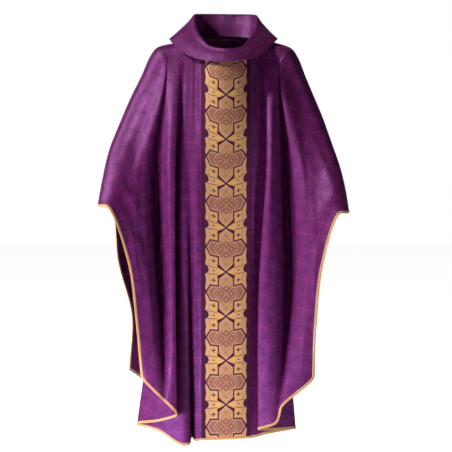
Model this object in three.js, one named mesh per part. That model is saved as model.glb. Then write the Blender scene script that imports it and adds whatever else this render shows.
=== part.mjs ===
// A full-cut chasuble with a turned-down cowl collar, in the hollow form that it takes on its wearer.
// Two damask panels meet in a seam along the top of each arm and fall in pressed tucks and deep folds.
// A woven band lies down the centre of the front, and satin binding closes the outer edge of each panel.
// Millimetres: x to the viewer's right, y away from the viewer, z up, origin in the neck at shoulder level.
import * as THREE from "three";

const WALL = 2; // damask wall
const SEAM = 0.3; // space between two pieces that are sewn together
const BINDING_WIDTH = 8;
const BINDING_THICK = 3;
const BAND_THICK = 1.3;
const COLLAR_WALL = 2.4; // doubled damask
const NECK_HALF = 98; // half the width of the neckline at the shoulder seam
const NECK_SIDE = { y: 15, z: 29 }; // where the shoulder seam meets the neckline
const NECK_FRONT = { y: -90, z: -42 };
const NECK_BACK = { y: 82, z: 44 };
const SMOOTH = 2; // columns of wall for each fold line of a table
const DOWN = [0, 0.02, 0.045, 0.075, 0.12, 0.18, 0.26, 0.36, 0.46, 0.57, 0.68, 0.79, 0.9, 1]; // places down a fold line

const FRONT = -1;
const BACK = 1;

// Gives each row of a table the names of its columns.
function table(columns, rows) {
  return rows.map((row) => Object.fromEntries(columns.map((name, i) => [name, row[i]])));
}

// The seam over the shoulder and down the arm, from the neck side to the wrist.
const LEFT_SEAM = table(["x", "y", "z"], [
  [-NECK_HALF, NECK_SIDE.y, NECK_SIDE.z],
  [-161, 12, 17],
  [-221, 8, 1],
  [-243, 5, -26],
  [-272, 0, -91],
  [-306, -10, -161],
  [-338, -35, -240],
  [-369, -80, -328],
  [-387, -130, -424],
  [-396, -170, -493],
]);
const RIGHT_SEAM = table(["x", "y", "z"], [
  [NECK_HALF, NECK_SIDE.y, NECK_SIDE.z],
  [162, 9, 16],
  [210, 5, -2],
  [231, 2, -31],
  [255, -2, -91],
  [284, -12, -161],
  [307, -30, -219],
  [333, -65, -299],
  [358, -110, -381],
  [372, -150, -452],
  [380, -174, -513],
]);

// One row for each line down the cloth, from left to right as seen from outside: each ridge, valley and edge.
// top is its place on the upper edge: 0 at the centre of the neckline, 1 at the neck side, 2 at the wrist.
// x1, y1 and x2, y2 are its places a third and two thirds of the way down.
const LINE = ["top", "x1", "y1", "x2", "y2", "hemX", "hemY", "hemZ"];
const FRONT_LINES = table(LINE, [
  [-2, -293, -221, -269, -229, -253, -236, -1021], // left side edge
  [-1.87, -284, -212, -255, -222, -243, -238, -1034],
  [-1.72, -285, -197, -247, -217, -232, -238, -1045],
  [-1.58, -278, -180, -241, -212, -222, -238, -1055],
  [-1.45, -268, -160, -236, -205, -213, -238, -1064],
  [-1.33, -250, -140, -231, -192, -205, -238, -1072],
  [-1.235, -236, -112, -222, -165, -198, -237, -1079],
  [-1.19, -221, -80, -207, -118, -189, -234, -1088], // groove below the shoulder
  [-1.15, -196, -118, -186, -172, -178, -237, -1098],
  [-1.12, -175, -146, -170, -194, -163, -237, -1112],
  [-1.095, -157, -143, -156, -190, -150, -229, -1132], // edge of the tuck
  [-1.085, -168, -130, -178, -168, -205, -184, -1162],
  [-1.075, -183, -116, -224, -128, -280, -120, -1186], // fold hidden in the tuck
  [-1.065, -162, -113, -176, -136, -209, -168, -1198],
  [-1.053, -142, -128, -140, -168, -136, -196, -1236],
  [-1.04, -124, -130, -120, -164, -115, -190, -1235],
  [-1.028, -112, -129, -114, -136, -108, -128, -1226], // groove beside the band
  [-1.014, -98, -134, -99, -164, -94, -176, -1227],
  [-0.84, -87, -137, -88, -165, -85, -177, -1225],
  [-0.58, -77, -138, -77, -166, -76, -178, -1224], // left edge of the band
  [-0.3, -38, -142, -38, -168, -38, -180, -1222],
  [0, 0, -144, 0, -168, 0, -180, -1221], // centre
  [0.3, 38, -142, 38, -167, 38, -179, -1219],
  [0.58, 77, -138, 77, -163, 76, -177, -1217], // right edge of the band
  [0.84, 89, -133, 88, -158, 92, -173, -1215],
  [1.02, 108, -122, 104, -148, 126, -162, -1208],
  [1.035, 158, -104, 186, -114, 219, -131, -1197], // fold hidden in the tuck
  [1.05, 143, -124, 142, -158, 160, -176, -1191],
  [1.068, 125, -143, 100, -190, 98, -226, -1180], // edge of the tuck
  [1.1, 140, -157, 122, -203, 128, -234, -1170],
  [1.14, 160, -132, 152, -192, 152, -234, -1159],
  [1.18, 182, -84, 199, -122, 166, -227, -1115], // groove below the shoulder
  [1.225, 206, -122, 219, -178, 184, -228, -1094],
  [1.33, 236, -152, 240, -200, 206, -228, -1077],
  [1.45, 256, -168, 252, -208, 222, -228, -1064],
  [1.58, 268, -184, 258, -212, 236, -227, -1053],
  [1.72, 277, -198, 261, -215, 248, -226, -1043],
  [1.87, 281, -209, 265, -217, 258, -225, -1034],
  [2, 289, -214, 271, -219, 265, -224, -1024], // right side edge
]);
const BACK_LINES = table(LINE, [
  [2, 300, -60, 274, 20, 268, 62, -1040], // right side edge
  [1.87, 299, -30, 272, 38, 263, 84, -1052],
  [1.72, 292, 2, 265, 56, 254, 104, -1070],
  [1.58, 282, 28, 258, 72, 244, 118, -1088],
  [1.45, 268, 50, 249, 88, 233, 130, -1106],
  [1.33, 253, 68, 240, 102, 221, 139, -1128],
  [1.235, 234, 84, 226, 112, 208, 142, -1152],
  [1.18, 208, 92, 202, 108, 190, 136, -1176], // groove below the shoulder
  [1.13, 176, 118, 172, 142, 168, 159, -1197],
  [1.1, 154, 119, 150, 146, 149, 165, -1200], // edge of the tuck
  [1.085, 166, 107, 170, 124, 173, 139, -1201],
  [1.065, 182, 96, 194, 98, 208, 102, -1206], // fold hidden in the tuck
  [1.05, 158, 97, 162, 110, 168, 116, -1208],
  [1.03, 128, 110, 126, 136, 124, 146, -1213],
  [1.01, 102, 111, 100, 124, 98, 130, -1214],
  [0.8, 76, 117, 74, 136, 72, 150, -1216],
  [0.45, 40, 121, 40, 141, 39, 153, -1217],
  [0, 0, 122, 0, 142, 0, 154, -1217], // centre
  [-0.45, -40, 121, -40, 141, -39, 153, -1217],
  [-0.8, -76, 117, -74, 138, -72, 152, -1216],
  [-1.01, -104, 111, -103, 126, -100, 132, -1214],
  [-1.03, -130, 110, -128, 138, -126, 148, -1213],
  [-1.05, -160, 97, -165, 110, -172, 116, -1208],
  [-1.065, -184, 96, -198, 98, -212, 102, -1206], // fold hidden in the tuck
  [-1.085, -168, 107, -172, 124, -174, 138, -1202],
  [-1.1, -156, 119, -153, 146, -149, 166, -1199], // edge of the tuck
  [-1.13, -179, 118, -176, 142, -168, 160, -1192],
  [-1.18, -211, 92, -206, 108, -194, 136, -1170], // groove below the shoulder
  [-1.235, -238, 84, -230, 112, -213, 144, -1148],
  [-1.33, -258, 66, -248, 102, -230, 140, -1128],
  [-1.45, -280, 48, -262, 86, -247, 130, -1110],
  [-1.58, -300, 24, -276, 70, -264, 118, -1094],
  [-1.72, -320, -4, -288, 52, -281, 102, -1078],
  [-1.87, -334, -28, -298, 36, -298, 84, -1062],
  [-2, -342, -48, -304, 20, -314, 62, -1046], // left side edge
]);

// The collar at each direction round the neck, in degrees from the front, minus to the left:
// the line where it rolls over and its free edge, each by its distance from the neck and its height.
const COLLAR_LINES = table(["turn", "rollR", "rollZ", "fallR", "fallZ"], [
  [-180, 97, 116, 150, 8],
  [-135, 116, 115, 172, 26],
  [-110, 107, 104, 182, 31],
  [-90, 97, 66, 180, 25],
  [-75, 91, 46, 163, -3],
  [-50, 93, 19, 144, -36],
  [-28, 100, -4, 139, -50],
  [0, 105, -13, 136, -55],
  [28, 100, -6, 137, -47],
  [50, 92, 19, 138, -32],
  [75, 89, 46, 148, 3],
  [90, 93, 66, 164, 26],
  [110, 104, 100, 168, 28],
  [135, 114, 113, 166, 24],
  [180, 97, 116, 150, 8],
]);

const vector = (p) => new THREE.Vector3(p.x, p.y, p.z);
const curveThrough = (points) => new THREE.CatmullRomCurve3(points, false, "centripetal");
const leftSeam = curveThrough(LEFT_SEAM.map(vector));
const rightSeam = curveThrough(RIGHT_SEAM.map(vector));

// The point on a panel's upper edge, by its place as in the tables.
function topPoint(top, face) {
  const across = Math.abs(top);
  if (across >= 1) {
    const point = (top < 0 ? leftSeam : rightSeam).getPointAt(Math.min(across - 1, 1));
    point.y += (face * SEAM) / 2;
    return point;
  }
  const neck = face === FRONT ? NECK_FRONT : NECK_BACK;
  const turn = (across * Math.PI) / 2;
  return new THREE.Vector3(
    Math.sign(top) * NECK_HALF * Math.sin(turn),
    NECK_SIDE.y + (face * SEAM) / 2 + (neck.y - NECK_SIDE.y) * Math.cos(turn),
    NECK_SIDE.z + (neck.z - NECK_SIDE.z) * Math.cos(turn) ** 1.5,
  );
}

// The way out of the cloth on the seam: square to the arm, with no part along y, so that both panels share it.
function seamNormal(top) {
  if (Math.abs(top) < 1) return new THREE.Vector3(0, 0, 1);
  const along = (top < 0 ? leftSeam : rightSeam).getTangentAt(Math.min(Math.abs(top) - 1, 1));
  along.multiplyScalar(Math.sign(top));
  return new THREE.Vector3(-along.z, 0, along.x).normalize();
}

// A line down the cloth: from the upper edge round the shoulder or arm, then down to the hem.
function foldLine(line, face) {
  const start = topPoint(line.top, face);
  const out = seamNormal(line.top);
  const onNeck = Math.abs(line.top) < 1;
  const reach = onNeck ? 34 : 62 - 24 * (Math.abs(line.top) - 1);
  const drop = onNeck ? 16 : reach;
  const quarter = (turn) => {
    const point = start.clone().addScaledVector(out, -drop * (1 - Math.cos(turn)));
    point.y += face * reach * Math.sin(turn);
    return point;
  };
  const at = (x, y, share) => new THREE.Vector3(x, y, start.z + (line.hemZ - start.z) * share);
  return curveThrough([
    start,
    quarter(Math.PI / 4),
    quarter(Math.PI / 2),
    at(line.x1, line.y1, 1 / 3),
    at(line.x2, line.y2, 2 / 3),
    at(line.hemX, line.hemY, 1),
  ]);
}

// The points of a panel's outer surface: a list for each place down the cloth, each from left to right.
function panelPoints(lines, face) {
  const folds = lines.map((line) => foldLine(line, face));
  const columns = (lines.length - 1) * SMOOTH;
  return DOWN.map((down) => {
    const across = curveThrough(folds.map((fold) => fold.getPointAt(down)));
    return Array.from({ length: columns + 1 }, (_, i) => {
      if (down > 0) return across.getPoint(i / columns);
      const row = Math.min(Math.floor(i / SMOOTH), lines.length - 2);
      return topPoint(THREE.MathUtils.lerp(lines[row].top, lines[row + 1].top, i / SMOOTH - row), face);
    });
  });
}

// The way out of the surface at each of its points.
function outwards(points, round = false) {
  const last = points[0].length - 1;
  return points.map((row, j) =>
    row.map((_, i) => {
      const left = row[i > 0 ? i - 1 : round ? last : 0];
      const right = row[i < last ? i + 1 : round ? 0 : last];
      const above = points[Math.max(j - 1, 0)][i];
      const below = points[Math.min(j + 1, points.length - 1)][i];
      const down = below.clone().sub(above);
      return down.cross(right.clone().sub(left)).normalize();
    }),
  );
}

const moved = (points, normals, distance) =>
  points.map((row, j) => row.map((p, i) => p.clone().addScaledVector(normals[j][i], distance)));

// A closed wall between an outer and an inner surface. A round wall joins its last column to its first.
function wall(outer, inner, round = false) {
  const rows = outer.length;
  const columns = outer[0].length;
  const position = [...outer.flat(), ...inner.flat()].flatMap((p) => [p.x, p.y, p.z]);
  const out = (j, i) => j * columns + (i % columns);
  const back = (j, i) => rows * columns + out(j, i);
  const index = [];
  const quad = (a, b, c, d) => index.push(a, b, c, a, c, d);
  const spans = round ? columns : columns - 1;
  for (let j = 0; j < rows - 1; j += 1) {
    for (let i = 0; i < spans; i += 1) {
      quad(out(j, i), out(j + 1, i), out(j + 1, i + 1), out(j, i + 1));
      quad(back(j, i), back(j, i + 1), back(j + 1, i + 1), back(j + 1, i));
    }
  }
  for (let i = 0; i < spans; i += 1) {
    quad(out(0, i + 1), back(0, i + 1), back(0, i), out(0, i));
    quad(out(rows - 1, i + 1), out(rows - 1, i), back(rows - 1, i), back(rows - 1, i + 1));
  }
  for (let j = 0; j < rows - 1 && !round; j += 1) {
    quad(out(j + 1, 0), out(j, 0), back(j, 0), back(j + 1, 0));
    quad(out(j, columns - 1), out(j + 1, columns - 1), back(j + 1, columns - 1), back(j, columns - 1));
  }
  const geometry = new THREE.BufferGeometry();
  geometry.setAttribute("position", new THREE.Float32BufferAttribute(position, 3));
  geometry.setIndex(index);
  geometry.computeVertexNormals();
  return geometry;
}

// A panel's surface with its way out, which on the arm seam is the one that both panels share.
function panelSurface(lines, face) {
  const points = panelPoints(lines, face);
  const normals = outwards(points);
  normals[0].forEach((normal, i) => {
    const row = Math.min(Math.floor(i / SMOOTH), lines.length - 2);
    const top = THREE.MathUtils.lerp(lines[row].top, lines[row + 1].top, i / SMOOTH - row);
    if (Math.abs(top) >= 1) normal.copy(seamNormal(top));
  });
  return { points, normals };
}

// The binding folded over a panel's side edges and hem, as one strip that runs from wrist to wrist.
function bindingWall({ points, normals }) {
  const last = points[0].length - 1;
  const edge = [];
  const add = (j, i) => edge.push({ at: points[j][i], out: normals[j][i] });
  for (let j = 0; j < points.length - 1; j += 1) add(j, 0);
  for (let i = 0; i < last; i += 1) add(points.length - 1, i);
  for (let j = points.length - 1; j >= 0; j -= 1) add(j, last);
  const end = edge.length - 1;
  const free = edge.map(({ at, out }, n) => {
    if (n === 0 || n === end) return wristEnd(at);
    const along = edge[n + 1].at.clone().sub(edge[n - 1].at).normalize();
    return along.cross(out).normalize();
  });
  const line = (inward, lift) =>
    edge.map(({ at, out }, n) => at.clone().addScaledVector(free[n], inward).addScaledVector(out, lift));
  const proud = (BINDING_THICK - WALL) / 2;
  const far = SEAM + BINDING_WIDTH;
  const outer = [line(SEAM, 0), line(far, proud)];
  const inner = [line(SEAM, -WALL), line(far, -WALL - proud)];
  return wall(outer, inner);
}

// At the wrist the binding runs on down the arm, past the end of the seam.
function wristEnd(at) {
  return (at.x < 0 ? leftSeam : rightSeam).getTangentAt(1);
}

// The woven band: the front panel's own points between its two edges, moved out.
function bandWall({ points, normals }) {
  const first = FRONT_LINES.findIndex((line) => line.top === -0.58) * SMOOTH;
  const last = FRONT_LINES.findIndex((line) => line.top === 0.58) * SMOOTH;
  const part = (grid) => grid.slice(1).map((row) => row.slice(first, last + 1));
  const under = moved(part(points), part(normals), SEAM);
  const over = moved(part(points), part(normals), SEAM + BAND_THICK);
  return wall(over, under);
}

// A value from the collar's table at any direction round the neck, on a smooth line through its rows.
function collarAt(turn, column) {
  const round = COLLAR_LINES.length - 1;
  const row = (n) => {
    const line = COLLAR_LINES[(n + round) % round];
    return { turn: line.turn + 360 * Math.floor(n / round), value: line[column] };
  };
  const next = Math.max(COLLAR_LINES.findIndex((line) => line.turn >= turn), 1);
  const [before, a, b, after] = [row(next - 2), row(next - 1), row(next), row(next + 1)];
  const span = b.turn - a.turn;
  const share = (turn - a.turn) / span;
  const slopeA = ((b.value - before.value) / (b.turn - before.turn)) * span;
  const slopeB = ((after.value - a.value) / (after.turn - a.turn)) * span;
  const bend = 3 * (b.value - a.value) - 2 * slopeA - slopeB;
  const twist = 2 * (a.value - b.value) + slopeA + slopeB;
  return a.value + share * (slopeA + share * (bend + share * twist));
}

// The collar stands on the neckline of both panels, rolls over and falls outwards.
function collarWall(front, back) {
  const foot = [];
  const take = ({ points, normals }, lines) => {
    for (let i = 0; i < points[0].length; i += 1) {
      const row = Math.min(Math.floor(i / SMOOTH), lines.length - 2);
      const top = THREE.MathUtils.lerp(lines[row].top, lines[row + 1].top, i / SMOOTH - row);
      if (Math.abs(top) < 1) foot.push(points[0][i].clone().addScaledVector(normals[0][i], SEAM));
    }
  };
  take(front, FRONT_LINES);
  take(back, BACK_LINES);
  const ring = foot.map((start) => {
    const turn = THREE.MathUtils.radToDeg(Math.atan2(start.x, -start.y));
    const way = new THREE.Vector3(start.x, start.y, 0).normalize();
    const rise = (r, z) => way.clone().multiplyScalar(r).setZ(z);
    const rollR = collarAt(turn, "rollR");
    const rollZ = collarAt(turn, "rollZ");
    const fallR = collarAt(turn, "fallR");
    const fallZ = collarAt(turn, "fallZ");
    const lean = (share, lift) => rise(rollR + (fallR - rollR) * share, rollZ + (fallZ - rollZ) * share + lift);
    const footR = Math.hypot(start.x, start.y);
    const stand = rise((footR + rollR) / 2 - 4, (start.z + rollZ) / 2);
    const section = curveThrough([
      start,
      stand,
      rise(rollR - 3, rollZ - 5),
      rise(rollR + 3, rollZ),
      lean(0.25, 3),
      lean(0.6, 4),
      lean(1, 0),
    ]);
    return section.getPoints(10);
  });
  const points = ring[0].map((_, j) => ring.map((section) => section[j]));
  const normals = outwards(points, true);
  return wall(moved(points, normals, COLLAR_WALL), points, true);
}

function piece(name, geometry, colour, roughness) {
  const material = new THREE.MeshStandardMaterial({ color: colour, roughness, metalness: 0 });
  const mesh = new THREE.Mesh(geometry, material);
  mesh.name = name;
  return mesh;
}

const PURPLE = 0x6e2a6c;
const GOLD = 0xd7a564;
const front = panelSurface(FRONT_LINES, FRONT);
const back = panelSurface(BACK_LINES, BACK);
const chasuble = new THREE.Group();
chasuble.add(
  piece("front_panel", wall(front.points, moved(front.points, front.normals, -WALL)), PURPLE, 0.5),
  piece("back_panel", wall(back.points, moved(back.points, back.normals, -WALL)), PURPLE, 0.5),
  piece("collar", collarWall(front, back), PURPLE, 0.5),
  piece("front_orphrey", bandWall(front), 0xc8a864, 0.6),
  piece("front_binding", bindingWall(front), GOLD, 0.4),
  piece("back_binding", bindingWall(back), GOLD, 0.4),
);

export default chasuble;
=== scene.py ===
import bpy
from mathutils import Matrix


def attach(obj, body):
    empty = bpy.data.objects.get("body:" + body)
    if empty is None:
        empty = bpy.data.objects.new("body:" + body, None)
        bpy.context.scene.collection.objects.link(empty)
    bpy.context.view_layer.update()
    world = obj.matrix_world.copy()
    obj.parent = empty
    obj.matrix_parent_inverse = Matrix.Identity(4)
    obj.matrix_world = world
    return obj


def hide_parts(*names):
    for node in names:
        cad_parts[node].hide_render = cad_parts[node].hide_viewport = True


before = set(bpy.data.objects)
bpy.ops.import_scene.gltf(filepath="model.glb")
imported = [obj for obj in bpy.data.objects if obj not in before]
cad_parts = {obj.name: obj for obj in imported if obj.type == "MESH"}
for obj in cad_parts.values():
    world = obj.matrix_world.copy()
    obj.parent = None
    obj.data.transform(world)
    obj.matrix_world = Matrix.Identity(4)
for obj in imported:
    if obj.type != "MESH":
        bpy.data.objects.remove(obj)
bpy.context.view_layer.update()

import math

import bpy
import numpy as np

# The viewpoint: straight in front of the chest, a little above the middle of the garment,
# through a long lens, so that the shoulders and the hem are seen almost square on.
LOOKS_DOWN = 3.14  # degrees below level
camera_data = bpy.data.cameras.new("camera")
camera_data.lens = 100
camera_data.sensor_width = 36
camera = bpy.data.objects.new("camera", camera_data)
camera.location = (0, -4.05, -0.35)
camera.rotation_euler = (math.radians(90 - LOOKS_DOWN), 0, 0)
bpy.context.collection.objects.link(camera)
bpy.context.scene.camera = camera

# The studio: a pale floor where the wearer would stand, a bright light high on the left, a cool one
# low in front, a weak one on the right for the sleeve there, one behind for the back, and plain
# white all round that gives little light itself.
FLOOR_HEIGHT = -1.46
SURROUND_LIGHT = 0.015


def floor_material():
    material = bpy.data.materials.new("pale_floor")
    material.use_nodes = True
    nodes, links = material.node_tree.nodes, material.node_tree.links
    shader = nodes["Principled BSDF"]
    speckle = nodes.new("ShaderNodeTexNoise")
    speckle.inputs["Scale"].default_value = 3
    tint = nodes.new("ShaderNodeMix")
    tint.data_type = "RGBA"
    tint.inputs["A"].default_value = (0.88, 0.875, 0.87, 1)
    tint.inputs["B"].default_value = (0.9, 0.9, 0.9, 1)
    seen = nodes.new("ShaderNodeLightPath")
    glow = nodes.new("ShaderNodeMath")
    glow.operation = "MULTIPLY"
    glow.inputs[1].default_value = 0.95
    links.new(speckle.outputs["Fac"], tint.inputs["Factor"])
    links.new(tint.outputs["Result"], shader.inputs["Base Color"])
    links.new(seen.outputs["Is Camera Ray"], glow.inputs[0])
    links.new(glow.outputs[0], shader.inputs["Emission Strength"])
    shader.inputs["Emission Color"].default_value = (1, 1, 1, 1)
    shader.inputs["Roughness"].default_value = 0.9
    shader.inputs["Specular IOR Level"].default_value = 0
    return material


def soft_light(name, place, aim, size, power, colour):
    data = bpy.data.lights.new(name, "AREA")
    data.shape = "DISK"
    data.size = size
    data.energy = power
    data.color = colour
    light = bpy.data.objects.new(name, data)
    light.location = place
    away = np.subtract(place, aim)
    across = math.hypot(away[0], away[1])
    light.rotation_euler = (math.atan2(across, away[2]), 0, math.atan2(away[0], -away[1]))
    bpy.context.collection.objects.link(light)


floor_mesh = bpy.data.meshes.new("floor")
floor_corners = [(x, y, FLOOR_HEIGHT) for x, y in ((-6, -6), (6, -6), (6, 12), (-6, 12))]
floor_mesh.from_pydata(floor_corners, [], [(0, 1, 2, 3)])
floor_mesh.materials.append(floor_material())
floor = bpy.data.objects.new("floor", floor_mesh)
bpy.context.collection.objects.link(floor)
soft_light("key_light", (-2.7, -1.1, 2.1), (0, -0.1, -0.3), 0.4, 145, (1, 0.93, 0.93))
soft_light("low_light", (-1.0, -1.2, -1.42), (-0.25, -0.15, -1.15), 0.3, 34, (0.86, 0.74, 1))
soft_light("side_light", (1.6, -1.3, -0.6), (0.3, -0.1, -0.6), 0.5, 7, (0.9, 0.74, 1))
soft_light("back_light", (0.5, 4.2, -0.3), (0, 0.1, -0.6), 1.0, 60, (1, 0.95, 0.95))
world = bpy.data.worlds.new("studio")
world.use_nodes = True
bpy.context.scene.world = world
world_nodes, world_links = world.node_tree.nodes, world.node_tree.links
surround = world_nodes["Background"]
surround.inputs["Color"].default_value = (1, 1, 1, 1)
seen_by_camera = world_nodes.new("ShaderNodeLightPath")
surround_strength = world_nodes.new("ShaderNodeMix")
surround_strength.inputs["A"].default_value = SURROUND_LIGHT
surround_strength.inputs["B"].default_value = 1.0
world_links.new(seen_by_camera.outputs["Is Camera Ray"], surround_strength.inputs["Factor"])
world_links.new(surround_strength.outputs["Result"], surround.inputs["Strength"])
bpy.context.scene.view_settings.view_transform = "Standard"

# The front panel: one piece of figured damask, half of a wide oval, pressed into a tuck on each side
# of the centre. It hangs from the shoulder seam, rests on the forearms and falls to the hem.
NECK_HALF = 98  # millimetres, as in every table of this script
NECK_SIDE = (15, 29)
NECK_FRONT = (-90, -42)
NECK_BACK = (82, 44)
SEAM = 0.3  # the gap left between two pieces that are sewn together
CLOTH = 1.1
LEAST_GAP = 1e-4
NECK_REACH, NECK_DROP = 34, 16  # how far the cloth runs out and down below the neckline
SLEEVE_REACH, SLEEVE_TAPER = 62, 24  # the same round the shoulder, and how much less at the wrist
CREASES_START, CREASES_FADE = 0.03, 0.05  # shares of the way down the cloth
FRONT, BACK = -1, 1
LEFT_SEAM = [
    (-98, 15, 29), (-161, 12, 17), (-221, 8, 1), (-243, 5, -26), (-272, 0, -91), (-306, -10, -161),
    (-338, -35, -240), (-369, -80, -328), (-387, -130, -424), (-396, -170, -493),
]
RIGHT_SEAM = [
    (98, 15, 29), (162, 9, 16), (210, 5, -2), (231, 2, -31), (255, -2, -91), (284, -12, -161),
    (307, -30, -219), (333, -65, -299), (358, -110, -381), (372, -150, -452), (380, -174, -513),
]
# Each line down the cloth: its place on the upper edge, x and y a third and two thirds down, and
# x, y and z at the hem.
FRONT_LINES = [
    (-2, -293, -221, -269, -229, -253, -236, -1021),
    (-1.87, -284, -212, -255, -222, -243, -238, -1034),
    (-1.72, -285, -197, -247, -217, -232, -238, -1045),
    (-1.58, -278, -180, -241, -212, -222, -238, -1055),
    (-1.45, -268, -160, -236, -205, -213, -238, -1064),
    (-1.33, -250, -140, -231, -192, -205, -238, -1072),
    (-1.235, -236, -112, -222, -165, -198, -237, -1079),
    (-1.19, -221, -80, -207, -118, -189, -234, -1088),
    (-1.15, -196, -118, -186, -172, -178, -237, -1098),
    (-1.12, -175, -146, -170, -194, -163, -237, -1112),
    (-1.095, -157, -143, -156, -190, -150, -229, -1132),
    (-1.085, -168, -130, -178, -168, -205, -184, -1162),
    (-1.075, -183, -116, -224, -128, -280, -120, -1186),
    (-1.065, -162, -113, -176, -136, -209, -168, -1198),
    (-1.053, -142, -128, -140, -168, -136, -196, -1236),
    (-1.04, -124, -130, -120, -164, -115, -190, -1235),
    (-1.028, -112, -129, -114, -136, -108, -128, -1226),
    (-1.014, -98, -134, -99, -164, -94, -176, -1227),
    (-0.84, -87, -137, -88, -165, -85, -177, -1225),
    (-0.58, -77, -138, -77, -166, -76, -178, -1224),
    (-0.3, -38, -142, -38, -168, -38, -180, -1222),
    (0, 0, -144, 0, -168, 0, -180, -1221),
    (0.3, 38, -142, 38, -167, 38, -179, -1219),
    (0.58, 77, -138, 77, -163, 76, -177, -1217),
    (0.84, 89, -133, 88, -158, 92, -173, -1215),
    (1.02, 108, -122, 104, -148, 126, -162, -1208),
    (1.035, 158, -104, 186, -114, 219, -131, -1197),
    (1.05, 143, -124, 142, -158, 160, -176, -1191),
    (1.068, 125, -143, 100, -190, 98, -226, -1180),
    (1.1, 140, -157, 122, -203, 128, -234, -1170),
    (1.14, 160, -132, 152, -192, 152, -234, -1159),
    (1.18, 182, -84, 199, -122, 166, -227, -1115),
    (1.225, 206, -122, 219, -178, 184, -228, -1094),
    (1.33, 236, -152, 240, -200, 206, -228, -1077),
    (1.45, 256, -168, 252, -208, 222, -228, -1064),
    (1.58, 268, -184, 258, -212, 236, -227, -1053),
    (1.72, 277, -198, 261, -215, 248, -226, -1043),
    (1.87, 281, -209, 265, -217, 258, -225, -1034),
    (2, 289, -214, 271, -219, 265, -224, -1024),
]


def curve_points(points, places):
    """Points of the smooth line through points, at places from 0 to 1 shared evenly by its spans."""
    known = np.asarray(points, float)
    known = np.vstack([2 * known[0] - known[1], known, 2 * known[-1] - known[-2]])
    spans = len(points) - 1
    place = np.clip(np.asarray(places, float), 0, 1) * spans
    span = np.minimum(place.astype(int), spans - 1)
    t = (place - span)[:, None]
    a, b, c, d = (known[span + n] for n in range(4))
    before, own, after = (
        np.sqrt(np.linalg.norm(q - p, axis=1, keepdims=True)) for p, q in ((a, b), (b, c), (c, d))
    )
    own = np.maximum(own, LEAST_GAP)
    before = np.where(before < LEAST_GAP, own, before)
    after = np.where(after < LEAST_GAP, own, after)
    start = ((b - a) / before - (c - a) / (before + own) + (c - b) / own) * own
    end = ((c - b) / own - (d - b) / (own + after) + (d - c) / after) * own
    bend = 3 * (c - b) - 2 * start - end
    return b + t * (start + t * (bend + t * (2 * (b - c) + start + end)))


def by_length(points, shares):
    """Points of the same line at shares of its length."""
    even = np.linspace(0, 1, 201)
    steps = np.linalg.norm(np.diff(curve_points(points, even), axis=0), axis=1)
    run = np.concatenate([[0], np.cumsum(steps)])
    return curve_points(points, np.interp(np.asarray(shares) * run[-1], run, even))


def seam_of(top):
    return LEFT_SEAM if top < 0 else RIGHT_SEAM


def top_point(top, face):
    """A point on a panel's upper edge: 0 in the middle of the neckline, 1 at its side, 2 at the wrist."""
    across = abs(top)
    if across >= 1:
        on_seam = by_length(seam_of(top), [min(across - 1, 1)])[0]
        return on_seam + np.array([0, face * SEAM / 2, 0])
    neck_y, neck_z = NECK_FRONT if face == FRONT else NECK_BACK
    turn = across * math.pi / 2
    return np.array([
        math.copysign(NECK_HALF * math.sin(turn), top),
        NECK_SIDE[0] + face * SEAM / 2 + (neck_y - NECK_SIDE[0]) * math.cos(turn),
        NECK_SIDE[1] + (neck_z - NECK_SIDE[1]) * math.cos(turn) ** 1.5,
    ])


def seam_outward(top):
    """The way out of the cloth on the shoulder seam, which both panels share."""
    if abs(top) < 1:
        return np.array([0, 0, 1.0])
    at = min(abs(top) - 1, 1)
    ends = by_length(seam_of(top), [max(at - 1e-3, 0), min(at + 1e-3, 1)])
    along = (ends[1] - ends[0]) * math.copysign(1, top)
    out = np.array([-along[2], 0, along[0]])
    return out / np.linalg.norm(out)


def fold_line(line, face):
    """The points of one line down the cloth: round the shoulder or arm first, then to the hem."""
    top, x1, y1, x2, y2, hem_x, hem_y, hem_z = line
    start = top_point(top, face)
    out = seam_outward(top)
    on_neck = abs(top) < 1
    reach = NECK_REACH if on_neck else SLEEVE_REACH - SLEEVE_TAPER * (abs(top) - 1)
    drop = NECK_DROP if on_neck else reach
    points = [start]
    for turn in (math.pi / 4, math.pi / 2):
        round_arm = start - out * drop * (1 - math.cos(turn))
        round_arm[1] += face * reach * math.sin(turn)
        points.append(round_arm)
    for x, y, share in ((x1, y1, 1 / 3), (x2, y2, 2 / 3), (hem_x, hem_y, 1)):
        points.append(np.array([x, y, start[2] + (hem_z - start[2]) * share]))
    return points


SHARP_ANGLE = 62
COLUMNS_PER_LINE = 8
DOWN_PLACES = np.concatenate([np.linspace(0, 0.12, 14)[:-1], np.linspace(0.12, 1, 78)])


def panel_grid(lines, face):
    """The panel's outer surface in millimetres: rows down the cloth, columns from left to right."""
    folds = np.array([by_length(fold_line(line, face), DOWN_PLACES) for line in lines])
    places = np.linspace(0, 1, (len(lines) - 1) * COLUMNS_PER_LINE + 1)
    grid = np.array([curve_points(folds[:, row], places) for row in range(len(DOWN_PLACES))])
    tops = np.interp(places * (len(lines) - 1), range(len(lines)), [line[0] for line in lines])
    grid[0] = [top_point(top, face) for top in tops]
    return grid, tops


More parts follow.
